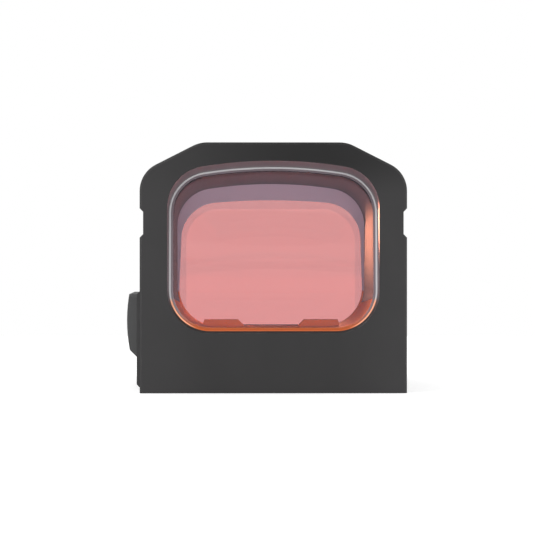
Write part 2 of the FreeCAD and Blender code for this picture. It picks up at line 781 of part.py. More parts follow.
def shrink_plate(plate):
    """Trims a little off the plate's four sides, so that it drops into its recess."""
    room = box(
        (PLATE_X[0] + CAP_GAP, PLATE_X[1] - CAP_GAP),
        (PLATE_Y[0] + CAP_GAP, PLATE_TONGUE_Y - CAP_GAP),
        (-PAST, PLATE_THICKNESS + PAST),
    )
    return plate.common(room)


def bottom_cover_seal():
    """The flat gasket between the bottom cover and the housing."""
    height = BOTTOM_RECESS_Z - PLATE_THICKNESS
    gasket = plate_outline(PLATE_THICKNESS, height)
    gasket = gasket.cut(box(ADJUSTER_BAY_X, ADJUSTER_BAY_Y, (0, BAY_ROOF_Z)))
    gasket = gasket.cut(box(BATTERY_BAY_X, BATTERY_BAY_Y, (0, BAY_ROOF_Z)))
    for x, y in PLATE_SCREWS:
        gasket = gasket.cut(rod_z(x, y, (0, BAY_ROOF_Z), PLATE_SCREW_RADIUS + LOOSE))
    return gasket


def bottom_cover_screws():
    """The flat-headed screws of the bottom cover."""
    screws = []
    for x, y in PLATE_SCREWS:
        screws.append(
            countersunk_screw(
                (x, y, 0),
                (0, 0, -1),
                PLATE_SCREW_RADIUS,
                PLATE_SCREW_LENGTH,
                PLATE_SCREW_HEAD_RADIUS,
                PLATE_SCREW_HEAD_HEIGHT,
            )
        )
    return group(screws)


# ---- Adjusting screws ----

def adjusting_screw(y):
    """A slotted, notched adjusting screw along X, with a groove for its clip."""
    screw = rod_x(SCREW_HEAD_X, y, SCREW_AXIS_Z, SCREW_HEAD_RADIUS)
    shank = (SCREW_THREAD_END_X, SCREW_HEAD_X[0])
    screw = screw.fuse(rod_x(shank, y, SCREW_AXIS_Z, SCREW_SHANK_RADIUS))
    thread = (SCREW_END_X, SCREW_THREAD_END_X)
    screw = screw.fuse(rod_x(thread, y, SCREW_AXIS_Z, SCREW_THREAD_RADIUS))
    groove = rod_x(CLIP_X, y, SCREW_AXIS_Z, SCREW_SHANK_RADIUS + FIT)
    screw = screw.cut(groove.cut(rod_x(CLIP_X, y, SCREW_AXIS_Z, CLIP_GROOVE_RADIUS)))
    slot_x = (SCREW_HEAD_X[1] - SCREW_SLOT_DEPTH, SCREW_HEAD_X[1])
    slot = box(slot_x, around(y, SCREW_HEAD_RADIUS), around(SCREW_AXIS_Z, SCREW_SLOT_WIDTH / 2))
    screw = screw.cut(slot)
    for step in range(SCREW_NOTCHES):
        turn = 2 * math.pi * (step + 0.5) / SCREW_NOTCHES
        notch_y = y + SCREW_HEAD_RADIUS * math.cos(turn)
        notch_z = SCREW_AXIS_Z + SCREW_HEAD_RADIUS * math.sin(turn)
        screw = screw.cut(rod_x(SCREW_HEAD_X, notch_y, notch_z, SCREW_NOTCH_RADIUS))
    return screw.removeSplitter()


def retaining_clip(y):
    """The open clip in the screw's groove, inside the wall."""
    clip = rod_x(CLIP_X, y, SCREW_AXIS_Z, CLIP_OUTER_RADIUS)
    clip = clip.cut(rod_x(CLIP_X, y, SCREW_AXIS_Z, CLIP_GROOVE_RADIUS))
    mouth = box(CLIP_X, around(y, CLIP_MOUTH / 2), (SCREW_AXIS_Z, SCREW_AXIS_Z + CLIP_OUTER_RADIUS))
    return clip.cut(mouth)


def screw_ring(y):
    """The O-ring under the adjusting screw's head."""
    centre = Vector(SCREW_SEAT_X + RING_WIRE_RADIUS, y, SCREW_AXIS_Z)
    return Part.makeTorus(RING_CENTRE_RADIUS, RING_WIRE_RADIUS, centre, Vector(1, 0, 0))


# ---- Elevation ----

def ramp_height(run):
    """The height of a ramp's surface, a distance run from its foot."""
    return WEDGE_BASE_Z + WEDGE_SLOPE * run


def elevation_wedge():
    """The bar that the elevation screw pulls along X, with two ramps and a threaded lug."""
    sides = around(ELEVATION_SCREW_Y, WEDGE_HALF_Y)
    wedge = box((WEDGE_START_X, NUT_X[1]), sides, (WEDGE_FLOOR_Z, WEDGE_BASE_Z))
    for start in RAMP_STARTS:
        wedge = wedge.fuse(
            prism(
                [
                    (start, sides[0], RAMP_ROOT_Z),
                    (start, sides[0], WEDGE_BASE_Z),
                    (start + RAMP_LENGTH, sides[0], ramp_height(RAMP_LENGTH)),
                    (start + RAMP_LENGTH, sides[0], RAMP_ROOT_Z),
                ],
                (0, 2 * WEDGE_HALF_Y, 0),
            )
        )
    wedge = wedge.fuse(box(NUT_X, sides, (WEDGE_FLOOR_Z, NUT_TOP_Z)))
    bore = (NUT_X[0] - PAST, NUT_X[1] + PAST)
    wedge = wedge.cut(rod_x(bore, ELEVATION_SCREW_Y, SCREW_AXIS_Z, SCREW_THREAD_RADIUS + FIT))
    return wedge.removeSplitter()


def elevation_block():
    """The block that the wedge lifts. Its two rails guide the emitter carrier along X."""
    block = box(around(0, BLOCK_HALF_X), BLOCK_Y, BLOCK_Z)
    for y in ((BLOCK_Y[0], BLOCK_Y[0] + RAIL_WIDTH), (BLOCK_Y[1] - RAIL_WIDTH, BLOCK_Y[1])):
        block = block.fuse(box(around(0, BLOCK_HALF_X), y, (BLOCK_Z[0], RAIL_TOP_Z)))
    sides = around(ELEVATION_SCREW_Y, WEDGE_HALF_Y)
    for start in RAMP_STARTS:
        block = block.fuse(
            prism(
                [
                    (start + SHOE_FROM, sides[0], ramp_height(SHOE_FROM) + RAMP_GAP),
                    (start + SHOE_TO, sides[0], ramp_height(SHOE_TO) + RAMP_GAP),
                    (start + SHOE_TO, sides[0], BLOCK_Z[1] - FIT),
                    (start + SHOE_FROM, sides[0], BLOCK_Z[1] - FIT),
                ],
                (0, 2 * WEDGE_HALF_Y, 0),
            )
        )
    for side in (-1, 1):
        bore = (BLOCK_Z[0] - PAST, BLOCK_Z[1] + PAST)
        block = block.cut(rod_z(side * PIN_X, PIN_Y, bore, PIN_RADIUS + FIT))
    return block.removeSplitter()


def guide_pins():
    """Two upright pins, pressed into the housing, that keep the elevation block level."""
    pins = []
    for side in (-1, 1):
        pins.append(rod_z(side * PIN_X, PIN_Y, (PIN_FLOOR_Z, BAY_ROOF_Z + PIN_PRESS_DEPTH), PIN_RADIUS))
    return group(pins)


def coil(x, y, z, radius, wire, turns):
    """A coil spring along Z between the pair z, measured over its wire, whose section is a polygon."""
    height = z[1] - z[0] - 2 * wire
    path = Part.makeHelix(height / turns, height, radius)
    corners = []
    for step in range(SPRING_WIRE_SIDES + 1):
        turn = 2 * math.pi * step / SPRING_WIRE_SIDES
        corners.append(Vector(radius + wire * math.cos(turn), 0, wire * math.sin(turn)))
    spring = Part.Wire(path.Edges).makePipeShell([Part.makePolygon(corners)], True, True)
    return spring.translated(Vector(x, y, z[0] + wire))


def elevation_springs():
    """Two small coils round the guide pins, which hold the block down on the wedge."""
    room = (BLOCK_Z[1] + FIT, BAY_ROOF_Z - FIT)
    springs = []
    for side in (-1, 1):
        springs.append(coil(side * PIN_X, PIN_Y, room, ELEVATION_SPRING_RADIUS, SPRING_WIRE, SPRING_TURNS))
    return group(springs)


# ---- Windage and emitter ----

def windage_nut():
    """The nut on the windage screw, with an arm whose T-shaped head draws the emitter carrier along X."""
    nut = box(NUT_X, around(WINDAGE_SCREW_Y, WEDGE_HALF_Y), (WEDGE_FLOOR_Z, NUT_TOP_Z))
    nut = nut.fuse(box((ARM_HEAD_X[0], NUT_X[1]), around(WINDAGE_SCREW_Y, ARM_HALF_Y), ARM_Z))
    nut = nut.fuse(box(ARM_HEAD_X, around(WINDAGE_SCREW_Y, ARM_HEAD_HALF_Y), ARM_Z))
    bore = (NUT_X[0] - PAST, NUT_X[1] + PAST)
    nut = nut.cut(rod_x(bore, WINDAGE_SCREW_Y, SCREW_AXIS_Z, SCREW_THREAD_RADIUS + FIT))
    return nut.removeSplitter()


def emitter_carrier():
    """The slider that carries the light source, with a turret that stands in the beam slot."""
    rails = (BLOCK_Y[0] + RAIL_WIDTH + FIT, BLOCK_Y[1] - RAIL_WIDTH - FIT)
    carrier = box(around(0, CARRIER_HALF_X), rails, CARRIER_Z)
    turret = box(around(0, TURRET_HALF_X), TURRET_Y, (CARRIER_Z[0], TURRET_TOP_Z))
    carrier = carrier.fuse(turret.cut(emitter_room()))
    through = (CARRIER_Z[0] - PAST, CARRIER_Z[1] + PAST)
    neck = around(WINDAGE_SCREW_Y, ARM_HALF_Y + LOOSE)
    head = around(WINDAGE_SCREW_Y, ARM_HEAD_HALF_Y + LOOSE)
    carrier = carrier.cut(box((ARM_HEAD_X[0], CARRIER_HALF_X + PAST), neck, through))
    carrier = carrier.cut(box((ARM_HEAD_X[0] - FIT, ARM_HEAD_X[1] + FIT), head, through))
    return carrier.removeSplitter()


def lean_emitter(shape):
    """Leans a shape back with the light source, so that it faces up towards the objective's middle."""
    return shape.rotated(Vector(0, TURRET_Y[1], LED_FLOOR_Z), Vector(1, 0, 0), LED_LEAN)


def emitter_room():
    """The space in front of the turret's leaning face."""
    room = box(around(0, BODY_WIDTH), (TURRET_Y[1] - LED_BOARD[1], NOSE_Y), (LED_FLOOR_Z, TOP_Z))
    return lean_emitter(room)


def led_board():
    """The small board that stands on the turret's leaning face."""
    height = (LED_FLOOR_Z, LED_FLOOR_Z + LED_BOARD[2])
    return lean_emitter(box(around(0, LED_BOARD[0] / 2), (TURRET_Y[1] - LED_BOARD[1], TURRET_Y[1]), height))


def led_emitter():
    """The light source on its board."""
    low = LED_FLOOR_Z + (LED_BOARD[2] - LED_SIZE[2]) / 2
    depth = (TURRET_Y[1], TURRET_Y[1] + LED_SIZE[1])
    return lean_emitter(box(around(0, LED_SIZE[0] / 2), depth, (low, low + LED_SIZE[2])))


def led_mask():
    """The thin mask over the light source, whose pinhole makes the dot."""
    low = LED_FLOOR_Z + (LED_BOARD[2] - LED_SIZE[2]) / 2
    near = TURRET_Y[1] + LED_SIZE[1]
    mask = box(around(0, LED_SIZE[0] / 2), (near, near + MASK_THICKNESS), (low, low + LED_SIZE[2]))
    centre = Vector(0, near - PAST, low + LED_SIZE[2] / 2)
    hole = Part.makeCylinder(MASK_HOLE_RADIUS, 2 * PAST, centre, Vector(0, 1, 0))
    return lean_emitter(mask.cut(hole))


def windage_leaf():
    """A bowed leaf spring on the block, facing the carrier's left end."""
    ends = LEAF_Y
    near = LEAF_X[1]
    outer = Part.Arc(
        Vector(LEAF_X[0], ends[0], BLOCK_Z[1]),
        Vector(LEAF_X[0] + LEAF_BOW, sum(ends) / 2, BLOCK_Z[1]),
        Vector(LEAF_X[0], ends[1], BLOCK_Z[1]),
    )
    inner = Part.Arc(
        Vector(near, ends[1], BLOCK_Z[1]),
        Vector(near + LEAF_BOW, sum(ends) / 2, BLOCK_Z[1]),
        Vector(near, ends[0], BLOCK_Z[1]),
    )
    outline = Part.Wire(
        [
            outer.toShape(),
            Part.makeLine(Vector(LEAF_X[0], ends[1], BLOCK_Z[1]), Vector(near, ends[1], BLOCK_Z[1])),
            inner.toShape(),
            Part.makeLine(Vector(near, ends[0], BLOCK_Z[1]), Vector(LEAF_X[0], ends[0], BLOCK_Z[1])),
        ]
    )
    return Part.Face(outline).extrude(Vector(0, 0, RAIL_TOP_Z - BLOCK_Z[1]))


# ---- Keypad ----

def keypad_frame():
    """The plate that holds the two buttons in the left wall."""
    outer_x = -HALF_WIDTH - FRAME_PROUD
    size_y = (FRAME_Y[0] + CAP_GAP, FRAME_Y[1] - CAP_GAP)
    size_z = (FRAME_Z[0] + FIT, FRAME_Z[1] - FIT)
    frame = box((outer_x, FRAME_SEAT_X), size_y, size_z)
    rim = [edge for edge in frame.Edges if edge.BoundBox.XMax < outer_x + FIT]
    frame = frame.makeChamfer(FRAME_CHAMFER, rim)
    for centre in BUTTON_CENTRES.values():
        opening = box(
            (outer_x - PAST, FRAME_SEAT_X + PAST),
            around(centre, BUTTON_LENGTH / 2 + BUTTON_GAP),
            (BUTTON_Z[0] - BUTTON_GAP, BUTTON_Z[1] + BUTTON_GAP),
        )
        frame = frame.cut(round_along(opening, Vector(1, 0, 0), BUTTON_CORNER))
    for y in FRAME_SCREWS_Y:
        frame = frame.cut(rod_x((outer_x, FRAME_SEAT_X), y, FRAME_SCREW_Z, PLATE_SCREW_RADIUS + LOOSE))
        sink = Part.makeCone(
            PLATE_SCREW_HEAD_RADIUS + LOOSE,
            PLATE_SCREW_RADIUS + LOOSE,
            PLATE_SCREW_HEAD_HEIGHT,
            Vector(outer_x, y, FRAME_SCREW_Z),
            Vector(1, 0, 0),
        )
        frame = frame.cut(sink)
    return frame


def keypad_frame_screws():
    """The flat-headed screws of the keypad frame."""
    screws = []
    for y in FRAME_SCREWS_Y:
        screws.append(
            countersunk_screw(
                (-HALF_WIDTH - FRAME_PROUD, y, FRAME_SCREW_Z),
                (-1, 0, 0),
                PLATE_SCREW_RADIUS,
                PLATE_SCREW_LENGTH,
                PLATE_SCREW_HEAD_RADIUS,
                PLATE_SCREW_HEAD_HEIGHT,
            )
        )
    return group(screws)


def button(name):
    """A key with a slightly crowned face, a lip that the frame holds back, and an engraved mark."""
    centre = BUTTON_CENTRES[name]
    near = centre - BUTTON_LENGTH / 2
    crest_x = -HALF_WIDTH - BUTTON_PROUD
    arc_x = crest_x + BUTTON_FACE_RADIUS

    def face_x(z):
        return arc_x - math.sqrt(BUTTON_FACE_RADIUS**2 - (z - BUTTON_CREST_Z) ** 2)

    low_corner = Vector(face_x(BUTTON_LOW_CORNER_Z), near, BUTTON_LOW_CORNER_Z)
    top_corner = Vector(face_x(BUTTON_Z[1]), near, BUTTON_Z[1])
    foot = Vector(low_corner.x + BUTTON_LOW_CORNER_Z - BUTTON_Z[0], near, BUTTON_Z[0])
    face = Part.Arc(low_corner, Vector(crest_x, near, BUTTON_CREST_Z), top_corner).toShape()
    rest = Part.makePolygon(
        [
            top_corner,
            Vector(BUTTON_BACK_X, near, BUTTON_Z[1]),
            Vector(BUTTON_BACK_X, near, BUTTON_Z[0]),
            foot,
            low_corner,
        ]
    )
    body = slab(Part.Wire([face] + rest.Edges), BUTTON_LENGTH)
    body = round_along(body, Vector(1, 0, 0), BUTTON_EDGE_RADIUS)
    lip = box(
        (BUTTON_FLANGE_X, BUTTON_BACK_X),
        around(centre, BUTTON_LENGTH / 2 + BUTTON_FLANGE_LIP),
        (BUTTON_Z[0] - BUTTON_FLANGE_LIP, BUTTON_Z[1] + BUTTON_FLANGE_TOP_LIP),
    )
    body = body.fuse(lip)
    mark_x = (crest_x - PAST, crest_x + MARK_DEPTH)
    bar = around(centre, MARK_LENGTH / 2)
    body = body.cut(box(mark_x, bar, around(BUTTON_CREST_Z, MARK_WIDTH / 2)))
    if name == "button_up":
        bar = around(BUTTON_CREST_Z, MARK_LENGTH / 2)
        body = body.cut(box(mark_x, around(centre, MARK_WIDTH / 2), bar))
    return body.removeSplitter()


def switch_plunger(name):
    """The plunger between a key and its switch. It travels with the key."""
    return rod_x((BUTTON_BACK_X, PLUNGER_END_X), BUTTON_CENTRES[name], BUTTON_MID_Z, PLUNGER_RADIUS)


def tactile_switches():
    """The two switches behind the keys."""
    switches = []
    for centre in BUTTON_CENTRES.values():
        case = box(SWITCH_X, around(centre, SWITCH_SIZE / 2), around(BUTTON_MID_Z, SWITCH_SIZE / 2))
        switches.append(case.cut(rod_x(SWITCH_X, centre, BUTTON_MID_Z, SWITCH_BORE_RADIUS)))
    return group(switches)


def switch_board():
    """The board behind the keypad."""
    return box(
        (SWITCH_X[1], SWITCH_X[1] + BOARD_THICKNESS),
        (PAD_POCKET_Y[0] + LOOSE, PAD_POCKET_Y[1] - LOOSE),
        (PAD_POCKET_Z[0] + BAY_CORNER, PAD_POCKET_Z[1] - BAY_CORNER),
    )


def keypad_gasket():
    """The soft liner of the pocket's mouth, which seals the frame."""
    outer = round_along(box(GASKET_X, PAD_POCKET_Y, PAD_POCKET_Z), Vector(1, 0, 0), PAD_CORNER)
    inner = box(
        GASKET_X,
        (PAD_POCKET_Y[0] + GASKET_BAND_Y, PAD_POCKET_Y[1] - GASKET_BAND_Y),
        (PAD_POCKET_Z[0] + GASKET_BAND_Z, PAD_POCKET_Z[1] - GASKET_BAND_Z),
    )
    return outer.cut(inner)


# ---- Battery ----

def coin_cell():
    """The coin cell, with the raised smaller pole on top."""
    can = rod_z(CELL_X, CELL_Y, (CELL_Z[0], CELL_Z[1] - CELL_LIP), CELL_RADIUS)
    rim = [edge for edge in can.Edges if edge.BoundBox.ZLength < FIT]
    can = can.makeFillet(CELL_LIP, rim)
    return can.fuse(rod_z(CELL_X, CELL_Y, (CELL_Z[1] - 2 * CELL_LIP, CELL_Z[1]), CELL_LIP_RADIUS))


def battery_tray():
    """The sliding tray, one piece with the cap that closes the right side."""
    sides = around(CELL_Y, TRAY_HALF_Y)
    floor = box((TRAY_BACK_X, CAP_X[0]), sides, TRAY_Z)
    rim = box((TRAY_BACK_X, CAP_X[0]), sides, (TRAY_Z[0], TRAY_RIM_TOP_Z))
    rim = rim.cut(rod_z(CELL_X, CELL_Y, (TRAY_Z[1], TRAY_RIM_TOP_Z), CELL_RADIUS + TRAY_RIM_GAP))
    rim = rim.cut(box((TRAY_BACK_X, CELL_X), around(CELL_Y, TRAY_OPEN_HALF), (TRAY_Z[1], TRAY_RIM_TOP_Z)))
    cap = box(
        CAP_X,
        (CAP_Y[0] + CAP_GAP, CAP_Y[1] - CAP_GAP),
        (CAP_Z[0] + CAP_GAP, CAP_Z[1] - CAP_GAP),
    )
    cap = round_along(cap, Vector(1, 0, 0), CAP_CORNER)
    outer = [edge for edge in cap.Edges if edge.BoundBox.XMin > CAP_X[1] - FIT]
    cap = cap.makeChamfer(FACE_CHAMFER, outer)
    pull_z = (CAP_Z[1] - 2 * PULL_LIP_DEPTH, CAP_Z[1])
    cap = cap.cut(box((CAP_X[1] - PULL_LIP_DEPTH, HALF_WIDTH), PULL_LIP_Y, pull_z))
    tray = floor.fuse(rim).fuse(cap)
    for y in CAP_SCREWS_Y:
        head = (CAP_SCREW_HEAD_X[0], CAP_X[1])
        tray = tray.cut(rod_x(head, y, CAP_SCREW_Z, CAP_SCREW_HEAD_RADIUS + LOOSE))
        tray = tray.cut(rod_x(CAP_X, y, CAP_SCREW_Z, CAP_SCREW_RADIUS + LOOSE))
    return tray.removeSplitter()


def tray_seal():
    """The soft ring between the tray's cap and the housing."""
    outer_y, outer_z = tray_seal_outer()
    return box(TRAY_SEAL_X, outer_y, outer_z).cut(box(TRAY_SEAL_X, BATTERY_BAY_Y, TRAY_MOUTH_Z))


def tray_screws():
    """The two captive screws of the tray's cap."""
    screws = []
    for y in CAP_SCREWS_Y:
        screw = rod_x(CAP_SCREW_HEAD_X, y, CAP_SCREW_Z, CAP_SCREW_HEAD_RADIUS)
        screw = screw.fuse(rod_x((CAP_SCREW_END_X, CAP_SCREW_HEAD_X[0]), y, CAP_SCREW_Z, CAP_SCREW_RADIUS))
        slot_x = (CAP_SCREW_HEAD_X[1] - DRIVE_DEPTH, CAP_SCREW_HEAD_X[1])
        slot_y = around(y, CAP_SCREW_HEAD_RADIUS)
        slot = box(slot_x, slot_y, around(CAP_SCREW_Z, SCREW_SLOT_WIDTH / 2))
        screws.append(screw.cut(slot).removeSplitter())
    return group(screws)


# ---- Electronics ----

def circuit_board():
    """The main board above the coin cell."""
    board = box(BOARD_X, BOARD_Y, BOARD_Z)
    for x, y in BOARD_SCREWS:
        board = board.cut(rod_z(x, y, BOARD_Z, BOARD_SCREW_RADIUS + LOOSE))
    return board


def board_chips():
    """The components on the underside of the main board, beside the cell."""
    chips = []
    for x, y, width, length in CHIPS:
        chips.append(box((x, x + width), (y, y + length), (BOARD_Z[0] - CHIP_HEIGHT, BOARD_Z[0])))
    return group(chips)


def board_screws():
    """The screws that hold the main board to the roof of its bay."""
    screws = []
    for x, y in BOARD_SCREWS:
        head = rod_z(x, y, (BOARD_Z[0] - BOARD_SCREW_RADIUS, BOARD_Z[0]), BOARD_SCREW_HEAD_RADIUS)
        shank = rod_z(x, y, (BOARD_Z[0], BAY_ROOF_Z + BOARD_SCREW_GRIP), BOARD_SCREW_RADIUS)
        screws.append(head.fuse(shank))
    return group(screws)


def top_contact():
    """The spring contact between the board and the top of the cell."""
    low = CELL_Z[1] + FIT
    high = BOARD_Z[0]
    near = CELL_Y - CONTACT_WIDTH / 2
    back_x = CELL_X - CONTACT_SHEET - CONTACT_RUN
    knee_x = CELL_X + CONTACT_RUN
    return prism(
        [
            (CELL_X, near, high),
            (back_x, near, high),
            (back_x, near, high - CONTACT_SHEET),
            (CELL_X - CONTACT_RUN / 2, near, high - CONTACT_SHEET),
            (knee_x, near, low),
            (knee_x + CONTACT_TIP, near, low + CONTACT_SHEET),
            (knee_x + CONTACT_TIP, near, low + 2 * CONTACT_SHEET),
            (knee_x, near, low + CONTACT_SHEET),
            (CELL_X, near, high - CONTACT_SHEET),
        ],
        (0, CONTACT_WIDTH, 0),
    )


def side_contact():
    """The contact that meets the rim of the cell at its inner end."""
    x = CELL_X - CELL_RADIUS - FIT - CONTACT_SHEET
    near = CELL_Y - CONTACT_WIDTH / 2
    return box((x, x + CONTACT_SHEET), (near, near + CONTACT_WIDTH), (CELL_Z[0] + FIT, BOARD_Z[0]))


# ---- Every node ----

def all_nodes():
    """Every sub-part by its node name."""
    nodes = {
        "housing": housing(),
        "rear_window": rear_window(),
        "rear_window_seal": rear_window_seal(),
        "objective_inner_element": objective_inner_element(),
        "objective_outer_element": objective_outer_element(),
        "objective_seal": objective_seal(),
        "floor_cover": floor_cover(),
        "bottom_cover": bottom_cover(),
        "bottom_cover_seal": bottom_cover_seal(),
        "bottom_cover_screws": bottom_cover_screws(),
        "elevation_wedge": elevation_wedge(),
        "elevation_block": elevation_block(),
        "guide_pins": guide_pins(),
        "elevation_springs": elevation_springs(),
        "windage_nut": windage_nut(),
        "emitter_carrier": emitter_carrier(),
        "led_board": led_board(),
        "led_emitter": led_emitter(),
        "led_mask": led_mask(),
        "windage_leaf_spring": windage_leaf(),
        "keypad_frame": keypad_frame(),
        "keypad_frame_screws": keypad_frame_screws(),
        "keypad_gasket": keypad_gasket(),
        "tactile_switches": tactile_switches(),
        "switch_board": switch_board(),
        "coin_cell": coin_cell(),
        "battery_tray": battery_tray(),
        "tray_seal": tray_seal(),
        "tray_screws": tray_screws(),
        "circuit_board": circuit_board(),
        "board_chips": board_chips(),
        "board_screws": board_screws(),
        "top_contact": top_contact(),
        "side_contact": side_contact(),
    }
    for name, y in (("elevation", ELEVATION_SCREW_Y), ("windage", WINDAGE_SCREW_Y)):
        nodes[name + "_screw"] = adjusting_screw(y)
        nodes[name + "_screw_clip"] = retaining_clip(y)
        nodes[name + "_screw_ring"] = screw_ring(y)
    for name in BUTTON_CENTRES:
        nodes[name] = button(name)
        nodes[name + "_plunger"] = switch_plunger(name)
    return nodes


os.makedirs("parts", exist_ok=True)
for node_name, node_shape in all_nodes().items():
    node_shape.exportStep("parts/" + node_name + ".step")
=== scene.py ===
import json
import math

import bmesh
import bpy
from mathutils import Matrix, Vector


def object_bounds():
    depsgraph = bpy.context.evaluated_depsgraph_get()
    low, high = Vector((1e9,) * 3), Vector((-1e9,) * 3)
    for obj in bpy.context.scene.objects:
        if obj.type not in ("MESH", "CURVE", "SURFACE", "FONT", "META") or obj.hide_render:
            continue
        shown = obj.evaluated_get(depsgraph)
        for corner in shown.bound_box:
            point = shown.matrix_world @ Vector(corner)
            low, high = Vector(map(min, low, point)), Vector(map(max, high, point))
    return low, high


# The looks of a compact enclosed red dot sight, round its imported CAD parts. Lengths are in metres.

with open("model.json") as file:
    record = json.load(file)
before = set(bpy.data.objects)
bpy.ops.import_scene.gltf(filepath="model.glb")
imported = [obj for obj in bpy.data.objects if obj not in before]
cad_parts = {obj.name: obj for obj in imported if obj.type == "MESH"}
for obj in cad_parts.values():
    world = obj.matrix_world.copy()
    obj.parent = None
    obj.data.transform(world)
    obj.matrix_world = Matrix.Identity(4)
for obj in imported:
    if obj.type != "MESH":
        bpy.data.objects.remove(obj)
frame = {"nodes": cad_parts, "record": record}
CAD_LOW, CAD_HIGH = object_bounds()
MM = 0.001

# ---- Camera and light ----

CAMERA_X = -3.6 * MM
CAMERA_Z = 16.0 * MM
CAMERA_DISTANCE = 300 * MM  # from the eye face
CAMERA_LENS = 186.3
CAMERA_TURN = math.radians(0.565)  # to the right
CAMERA_DIP = math.radians(0.452)
CLIP_START = 0.01
CLIP_END = 10.0
STUDIO_WHITE = (1.0, 1.0, 1.0)
SOFT_LIGHTS = (
    # name, way from the middle of the part in metres, width and height in metres, power
    ("key_light", (-0.35, -0.3, 0.5), (0.3, 0.3), 1.6),
    ("side_light", (0.45, 0.25, 0.3), (0.25, 0.25), 0.8),
)
FRONT_LIGHT_PLACE = (0, -0.8, 0.03)
FRONT_LIGHT_SIZE = (0.15, 0.06)
FRONT_LIGHT_POWER = 1.5
FLOOR_COLOUR = (0.66, 0.66, 0.66)
FLOOR_SPECK = 0.985  # the darkest of its specks, as a share of its colour
FLOOR_GLOW = 0.46
FLOOR_RADIUS = 170 * MM
FLOOR_GAP = 0.03 * MM
WARM_BEAMS = (
    # name, target in millimetres, way back to the light, width and height, power
    ("wall_beam", (10.8, -7.0, 16.4), (-0.27, 1.0, 0.03), (8 * MM, 7 * MM), 0.000055),
    ("floor_beam", (0.0, 0.0, 6.6), (0.0, 1.0, 0.32), (21 * MM, 6 * MM), 0.00025),
)
BEAM_REACH = 120 * MM
BEAM_COLOUR = (1.0, 0.35, 0.21)
BEAM_SPREAD = math.radians(6)

# ---- Colours, and the bounds of the flange's foot and of the darker band on the objective ----

HOUSING_BLACK = (0.0204, 0.0197, 0.0202)
# The bezel's lighter mauve is a painted reflection on the black housing.
BEZEL_REFLECTION_COLOUR = (0.14, 0.1, 0.112)
# The tunnel's violet cast is painted light on the black housing.
TUNNEL_PAINTED_VIOLET_CAST = (0.03, 0.028, 0.042)
# The flange's pale mauve is partly painted light.
FLANGE_MAUVE_AND_PAINTED_LIGHT = (0.61, 0.435, 0.56)
# The bevel's mauve is a painted reflection of the tunnel.
BEVEL_REFLECTION_COLOUR = (0.3, 0.25, 0.28)
# The seal's pale grey is partly a painted highlight.
SEAL_GREY_AND_HIGHLIGHT = (0.51, 0.5, 0.51)
# Orange bronze, partly painted light: its strength stands for the warm light in the tunnel.
BRONZE_AND_WARM_GLOW = (0.9, 0.17, 0.045)
# A dim orange: painted reflection of the tunnel's floor, low on the bevel and the seal.
FLOOR_REFLECTION_COLOUR = (0.56, 0.13, 0.04)
# A bright orange: painted glint in the window's lower corners.
CORNER_GLINT_COLOUR = (1.0, 0.45, 0.27)
# Up to this height the flange's foot gets painted orange light.
FLANGE_FOOT = 10.6 * MM
FOOT_BLUR = 0.2 * MM
CLEAR = (0.99, 0.98, 0.985)
PINK = (0.79, 0.3, 0.29)
PINK_EDGE = (0.67, 0.27, 0.27)
DARK_BAND_HALF = 10.0 * MM
DARK_BAND_TOP = 20.3 * MM
DARK_BAND_CORNER = 4.0 * MM
DARK_BAND_BLUR = 0.04 * MM

# ---- Fades: where each starts and ends, and its worth there if not 0 and 1; and the finishes' grain ----

FACE_FADE = (-20.4 * MM, -20.9 * MM)  # along Y, onto the eye face
SIDE_PAINTED_LIGHT = (6 * MM, 14 * MM, 0.0, 0.26)  # painted light, from the middle to the sides
TOP_FADE = (21 * MM, 25.5 * MM)  # painted shade, up to the part of the face over the window
TOP_PAINTED_SHADE = (-10 * MM, 3 * MM, 0.1, 0.6)  # along X, for that part
BEZEL_FADE = (8 * MM, 12.5 * MM)  # painted shade, up from the sill
BEVEL_FADE = (6.9 * MM, 9.5 * MM)
SEAL_FOOT_FADE = (6.9 * MM, 7.6 * MM)
SEAL_FADE = (9.8 * MM, 10.4 * MM)
EDGE_FADE = (0.995, 0.85)  # as the rounded and the true normal part
WEAR_FADE = (0.35, 0.75)
FLOOR_SPECK_SIZE = 12 * MM
MOTTLE_SIZE = 5 * MM
SMEAR_SIZE = 4 * MM
SMEAR = 0.99  # the darkest of the rear window's smears, as a share of its colour
WEAR_SIZE = 0.9 * MM
ROUGH_FADE = (0.2, 0.8)
ROUGH_SPREAD = 0.1  # either way, as a share of a finish's roughness
FINE_DETAIL = 4.0
BUMP_STRENGTH = 0.6

# ---- The faces that get a second material, with painted light and reflection, in millimetres: half the width, the bounds of Y and those of Z ----

BEZEL_BOX = (11.6, (-22, -18.6), (7.2, 25.3))
FLANGE_BOX = (11.2, (3, 7.5), (6, 24))
OPENING_BOX = (10.85, (3.9, 7.1), (6.2, 21.6))
TUNNEL_BOX = (11.1, (-18.9, 5.5), (9, 24.3))
SQUARE = 0.95  # the part of Y in a normal from which a face stands square to the tunnel
ALONG = 0.3  # the part of Y in a normal up to which a face runs along the tunnel


def make_camera():
    """The camera before the eye end, a little to the left and level with the middle of the window."""
    data = bpy.data.cameras.new("camera")
    data.lens = CAMERA_LENS
    data.clip_start = CLIP_START
    data.clip_end = CLIP_END
    camera = bpy.data.objects.new("camera", data)
    camera.location = (CAMERA_X, CAD_LOW.y - CAMERA_DISTANCE, CAMERA_Z)
    camera.rotation_euler = (math.pi / 2 - CAMERA_DIP, 0, -CAMERA_TURN)
    bpy.context.scene.collection.objects.link(camera)
    bpy.context.scene.camera = camera


def make_world():
    """White surroundings."""
    world = bpy.data.worlds.new("studio")
    world.use_nodes = True
    background = world.node_tree.nodes["Background"]
    background.inputs["Color"].default_value = (*STUDIO_WHITE, 1)
    background.inputs["Strength"].default_value = 1.0
    bpy.context.scene.world = world
    bpy.context.scene.view_settings.view_transform = "Standard"


